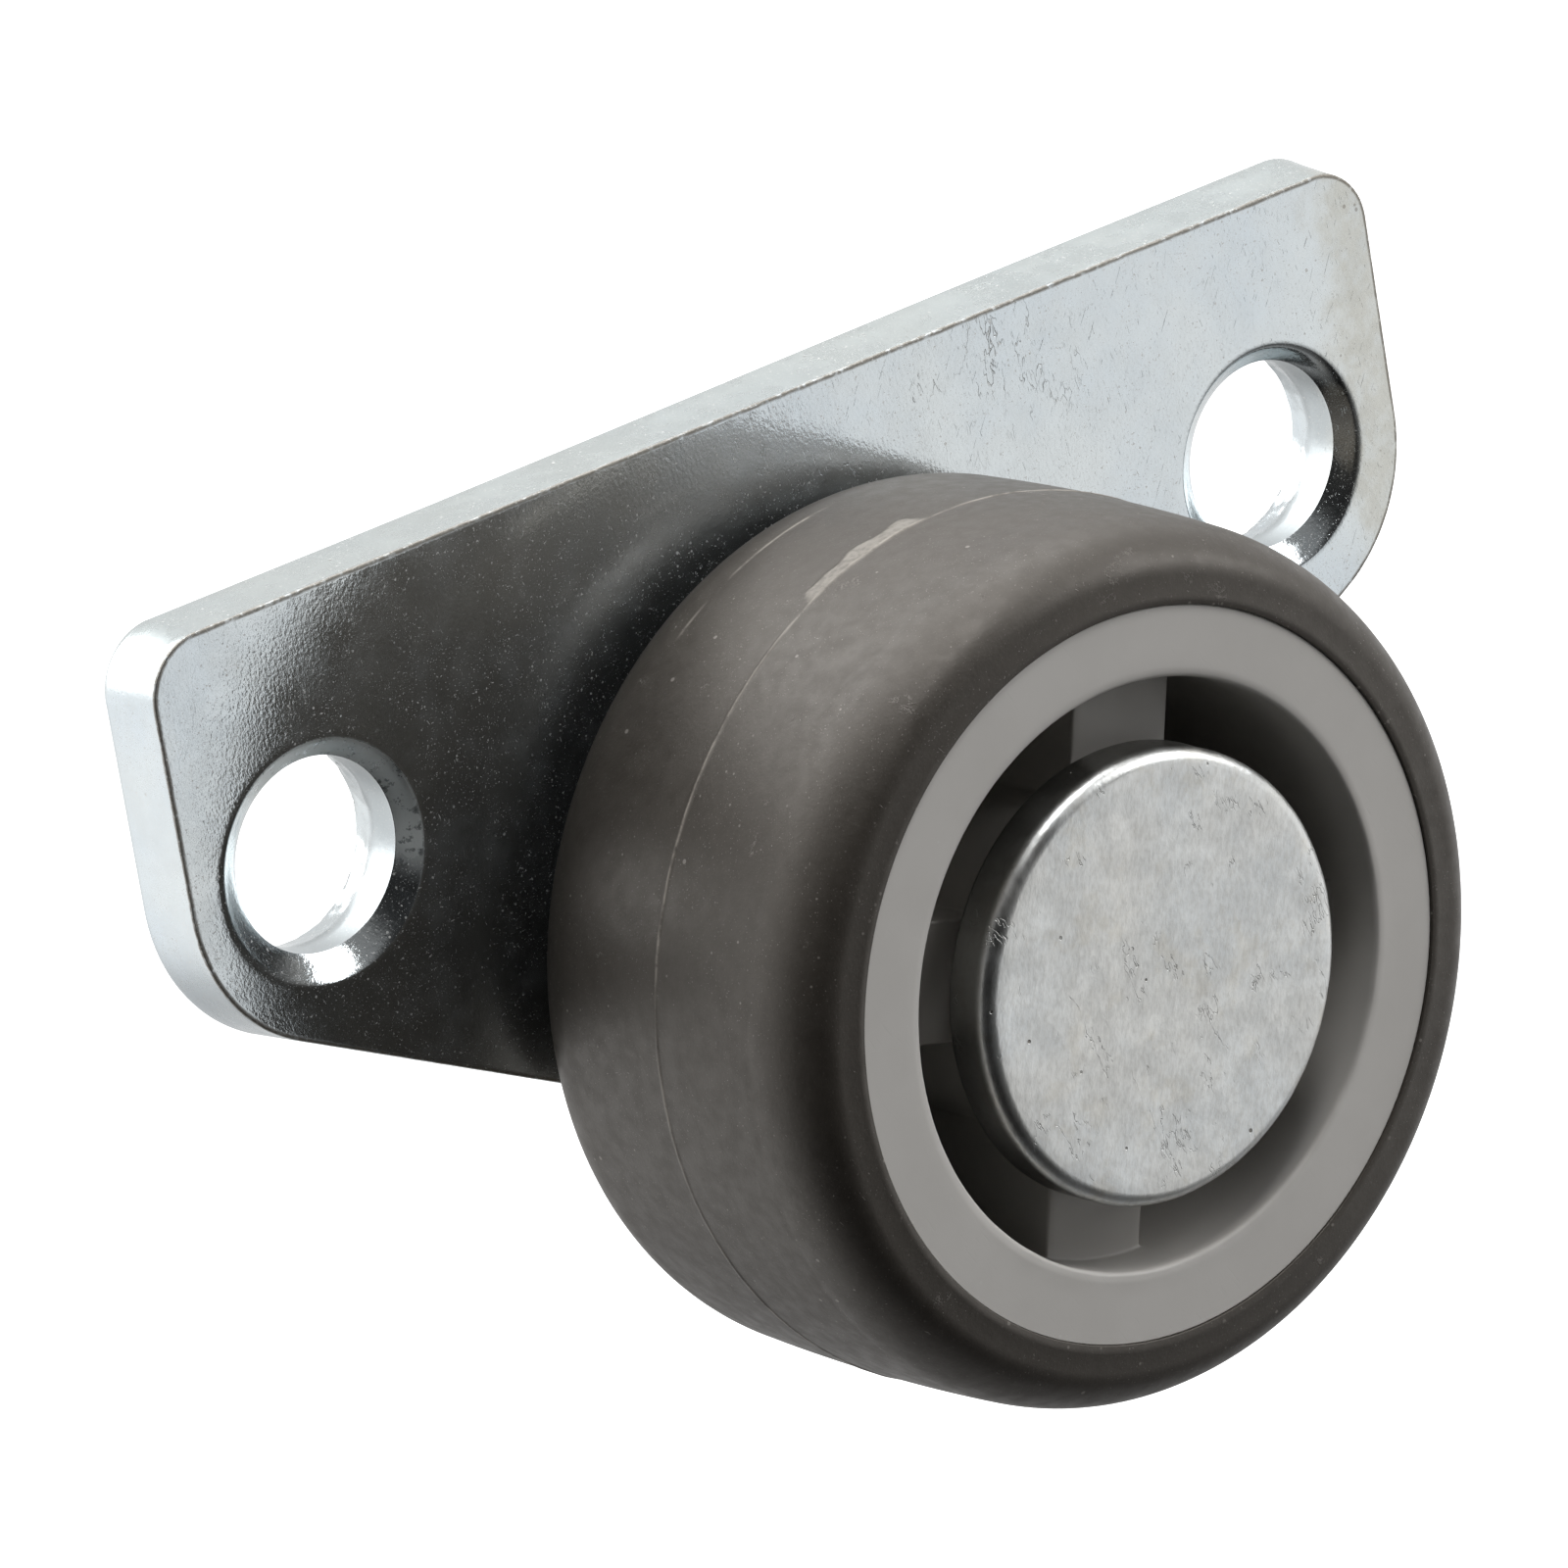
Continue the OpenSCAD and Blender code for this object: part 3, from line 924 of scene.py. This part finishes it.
def hub_finish():
    """Smooth moulded grey plastic with faint flow clouds, rub marks, a little dust and painted
    shade deep inside the ring.
    """
    f = Finish("moulded_grey", IOR=1.5)
    cloud = f.ramp(f.noise(4.0, 3.0), 0.3, 0.7)
    colour = f.mix(cloud, (0.61, 0.59, 0.56), (0.64, 0.62, 0.59))
    rubbed = f.ramp(f.noise(2.0, 2.0), 0.4, 0.6)
    rubs = f.times(f.strokes(0.06, 16, (0, 30, 0), 0.66, 2.0), rubbed, 0.4)
    colour = f.mix(rubs, colour, (0.6, 0.59, 0.56))
    dust = f.specks(0.55, 0.06, 0.35, shift=1.0)
    colour = f.mix(f.times(dust, 0.6), colour, (0.66, 0.65, 0.62))
    away = f.from_axle()
    # Painted shade: darker with depth inside the ring's bore, over the ribs and pockets
    face, floor = hub_low.y + 0.3, hub_low.y + 2.2
    depth = f.ramp(f.coordinate("Y"), face * MM, floor * MM, 0.25, 1.0)
    recess_painted_shade = f.times(depth, f.ramp(away, (RING_BORE_R + 0.25) * MM, (RING_BORE_R + 0.02) * MM))
    colour = f.mix(f.times(recess_painted_shade, 0.47), colour, (0.27, 0.26, 0.24))
    outer_edge = f.ramp(away, 10.95 * MM, 11.2 * MM)
    flecks = f.times(f.specks(0.28, 0.07, 0.6, shift=8.0), outer_edge)
    colour = f.mix(f.times(flecks, 0.7), colour, (0.7, 0.68, 0.64))
    f.set("Base Color", colour)
    f.set("Roughness", f.ramp(f.noise(0.9, 4.0), 0.3, 0.7, 0.42, 0.55))
    f.bump((f.noise(0.2, 3.0), 0.002), (f.noise(3.0, 2.0), 0.012), (rubs, -0.004))
    return f.material


def tyre_finish():
    """Matte dark rubber, paler on the moulding flash, with dust, lint and scuffs."""
    f = Finish("dark_rubber", IOR=1.6, Specular_Tint=(1.0, 0.94, 0.87, 1))
    cloud = f.ramp(f.noise(5.0, 4.0), 0.25, 0.75)
    colour = f.mix(cloud, (0.036, 0.031, 0.026), (0.046, 0.040, 0.033))
    mottle = f.ramp(f.noise(0.35, 4.0, 0.7), 0.3, 0.75)
    colour = f.mix(f.times(mottle, 0.45), colour, (0.062, 0.055, 0.047))
    flash = f.times(f.mark("flash"), f.ramp(f.noise(0.25, 3.0), 0.3, 0.6, 0.5, 1.0))
    colour = f.mix(f.times(flash, 0.75), colour, (0.28, 0.26, 0.23))
    pick = f.ramp(f.noise(0.9, 4.0, 0.65, shift=23.0), 0.36, 0.52)
    seam = f.mix(pick, (0.10, 0.09, 0.078), (0.36, 0.33, 0.29))
    colour = f.mix(f.times(f.mark("seam"), 0.8), colour, seam)
    away = f.from_axle()
    at_ring = f.ramp(away, 11.7 * MM, 11.3 * MM)
    flecks = f.times(f.specks(0.3, 0.08, 0.7, shift=8.0), at_ring, 0.9)
    fine_dust = f.ramp(f.noise(0.06, 1.0, 0.5, shift=1.0), 0.69, 0.76)
    fine_dust = f.most(fine_dust, f.specks(0.3, 0.05, 0.3, shift=17.0))
    fine_dust = f.times(fine_dust, f.ramp(f.noise(2.5, 3.0, shift=4.0), 0.4, 0.6, 0.2, 1.0))
    dust = f.most(fine_dust, f.specks(0.7, 0.09, 0.3, shift=5.0), flecks)
    linty = f.ramp(f.noise(1.5, 2.0, shift=2.0), 0.5, 0.6)
    lint = f.times(f.strokes(0.07, 7, (20, 35, 10), 0.70, 3.0), linty)
    scuffed = f.ramp(f.noise(2.0, 3.0, shift=11.0), 0.66, 0.74)
    scuffs = f.times(f.cracks(0.35, 0.03, 4.0), scuffed)
    pale = f.most(f.times(dust, 0.7), f.times(lint, 0.7), f.times(scuffs, 0.5))
    colour = f.mix(pale, colour, (0.27, 0.25, 0.23))
    f.set("Base Color", colour)
    f.set("Roughness", f.ramp(f.noise(0.6, 4.0), 0.3, 0.7, 0.41, 0.52))
    f.bump((f.noise(0.12, 3.0), 0.006), (f.noise(1.2, 3.0), 0.01), (scuffs, 0.01), (lint, 0.01))
    return f.material


def sleeve_finish():
    """Drawn steel with lines along the tube."""
    f = Finish("drawn_steel", Metallic=1.0)
    lines = f.noise(0.12, 3.0, stretch=(1, 12, 1))
    f.set("Base Color", f.mix(f.ramp(lines, 0.35, 0.7), (0.50, 0.51, 0.52), (0.40, 0.40, 0.39)))
    f.set("Roughness", f.ramp(lines, 0.3, 0.7, 0.28, 0.4))
    f.bump((lines, 0.004))
    return f.material


def washer_finish():
    """Natural nylon, slightly cloudy, with a trace of grey rubbed in."""
    f = Finish("natural_nylon", IOR=1.53)
    cloud = f.ramp(f.noise(1.5, 4.0), 0.35, 0.7)
    f.set("Base Color", f.mix(cloud, (0.62, 0.60, 0.53), (0.50, 0.48, 0.43)))
    f.set("Roughness", f.ramp(f.noise(0.4, 3.0), 0.3, 0.7, 0.4, 0.55))
    f.bump((f.noise(0.2, 3.0), 0.003))
    return f.material


# ---------------------------------------------------------------- studio


# The camera: azimuth, elevation and roll in degrees
CAMERA_ANGLES = (-37.02, 18.95, -9.5)
CAMERA_DISTANCE = 395.96
CAMERA_TARGET = Vector((-3.22, -4.40, -2.92))
LENS = 299.5
SENSOR = 36


def place_camera():
    """Long lens, a little above the object and to its left, rolled so that the object leans."""
    azimuth, elevation, roll = (math.radians(angle) for angle in CAMERA_ANGLES)
    back = Vector((
        math.sin(azimuth) * math.cos(elevation),
        -math.cos(azimuth) * math.cos(elevation),
        math.sin(elevation),
    ))
    data = bpy.data.cameras.new("camera")
    data.sensor_width = SENSOR
    data.lens = LENS
    data.clip_start = 0.01
    data.clip_end = 100
    camera = bpy.data.objects.new("camera", data)
    turn = (-back).to_track_quat("-Z", "Y").to_matrix() @ Matrix.Rotation(roll, 3, "Z")
    place = (CAMERA_TARGET + back * CAMERA_DISTANCE) * MM
    camera.matrix_world = Matrix.LocRotScale(place, turn, None)
    bpy.context.scene.collection.objects.link(camera)
    bpy.context.scene.camera = camera


def soft_light(name, position, size, radiance):
    """Square softbox facing the object; position and size in metres."""
    data = bpy.data.lights.new(name, "AREA")
    data.size = size
    data.energy = radiance * math.pi * size**2
    light = bpy.data.objects.new(name, data)
    light.location = position
    light.rotation_mode = "QUATERNION"
    light.rotation_quaternion = (-Vector(position)).to_track_quat("-Z", "Y")
    bpy.context.scene.collection.objects.link(light)


def surroundings():
    """White table and backdrop, by direction; the front, where the camera stands, is dark."""
    world = bpy.data.worlds.new("studio")
    bpy.context.scene.world = world
    world.use_nodes = True
    nodes, links = world.node_tree.nodes, world.node_tree.links
    direction = nodes.new("ShaderNodeTexCoord").outputs["Generated"]
    parts = nodes.new("ShaderNodeSeparateXYZ")
    links.new(direction, parts.inputs[0])

    def ramp(value, low, high, to_low, to_high):
        node = nodes.new("ShaderNodeMapRange")
        node.interpolation_type = "SMOOTHSTEP"
        links.new(value, node.inputs["Value"])
        limits = {"From Min": low, "From Max": high, "To Min": to_low, "To Max": to_high}
        for socket, number in limits.items():
            node.inputs[socket].default_value = number
        return node.outputs[0]

    def blend(factor, first, second):
        node = nodes.new("ShaderNodeMix")
        for socket, value in zip(("Factor", "A", "B"), (factor, first, second)):
            if isinstance(value, float):
                node.inputs[socket].default_value = value
            else:
                links.new(value, node.inputs[socket])
        return node.outputs[0]

    def both(first, second):
        node = nodes.new("ShaderNodeMath")
        node.operation = "MULTIPLY"
        links.new(first, node.inputs[0])
        links.new(second, node.inputs[1])
        return node.outputs[0]

    x, y, z = (parts.outputs[axis] for axis in "XYZ")
    # The table below the horizon, darker close under the object, and the backdrop above it
    near_table = ramp(z, -0.64, -0.36, 0.1, 1.05)
    far_table = ramp(z, -0.95, -0.25, 0.35, 1.05)
    table = blend(ramp(y, -0.35, 0.05, 0.0, 1.0), near_table, far_table)
    backdrop = ramp(y, -0.5, 0.5, 0.25, 0.92)
    light = blend(ramp(z, -0.06, 0.02, 0.0, 1.0), table, backdrop)
    # The left side: evenly lit, brighter towards the back and dark towards the front
    light = blend(ramp(x, -0.3, -0.75, 0.0, 1.0), light, 0.85)
    light = blend(both(ramp(x, -0.1, -0.5, 0.0, 1.0), ramp(y, 0.3, 0.65, 0.0, 1.0)), light, 1.30)
    light = blend(both(ramp(x, -0.1, -0.5, 0.0, 0.74), ramp(y, 0.3, 0.0, 0.0, 1.0)), light, 0.0)
    # The dark place where the camera and whoever holds it stand
    facing = nodes.new("ShaderNodeVectorMath")
    facing.operation = "DOT_PRODUCT"
    links.new(direction, facing.inputs[0])
    facing.inputs[1].default_value = Vector((-0.50, -0.84, -0.10)).normalized()
    light = blend(ramp(facing.outputs["Value"], 0.36, 0.66, 0.0, 0.92), light, 0.0)
    seen = nodes.new("ShaderNodeLightPath").outputs["Is Camera Ray"]
    links.new(blend(seen, light, 1.0), nodes["Background"].inputs["Strength"])
    nodes["Background"].inputs["Color"].default_value = (1, 1, 1, 1)


def pale_floor():
    """Plain white floor well below the object; it lights and shades nothing. In metres."""
    half = 6.0
    level = -0.45
    mesh = bpy.data.meshes.new("floor")
    corners = [(x * half, y * half, level) for x, y in ((-1, -1), (1, -1), (1, 1), (-1, 1))]
    mesh.from_pydata(corners, [], [(0, 1, 2, 3)])
    floor = bpy.data.objects.new("floor", mesh)
    bpy.context.scene.collection.objects.link(floor)
    finish = Finish("white_floor", Base_Color=(0.9, 0.9, 0.9, 1), Roughness=0.9)
    finish.shader.inputs["Emission Color"].default_value = (1, 1, 1, 1)
    finish.shader.inputs["Emission Strength"].default_value = 1.0
    mesh.materials.append(finish.material)
    floor.visible_diffuse = False
    floor.visible_glossy = False
    floor.visible_shadow = False


def studio():
    """Camera, surroundings, four softboxes and the floor."""
    bpy.context.scene.view_settings.view_transform = "Standard"
    place_camera()
    surroundings()
    soft_light("overhead", (0.10, 0.20, 0.60), 0.75, 2.3)
    soft_light("strip", (0.02, -0.20, 0.62), 0.16, 14.0)
    soft_light("right", (0.58, -0.39, 0.36), 0.5, 3.6)
    soft_light("back", (-0.29, 0.54, 0.33), 0.65, 1.85)
    pale_floor()


# ---------------------------------------------------------------- object


def dress(piece, body, node, material):
    """Puts a detailed piece in the place of its CAD node."""
    piece.data.materials.append(material)
    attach(piece, body)
    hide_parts(node)


studio()
dress(mounting_plate(), "bracket", "mounting_plate", plate_finish())
dress(axle_rivet(), "bracket", "axle_rivet", rivet_finish())
dress(axle_sleeve(), "bracket", "axle_sleeve", sleeve_finish())
dress(thrust_washer(), "bracket", "thrust_washer", washer_finish())
dress(wheel_hub(), "wheel", "wheel_hub", hub_finish())
dress(tyre(), "wheel", "tyre", tyre_finish())
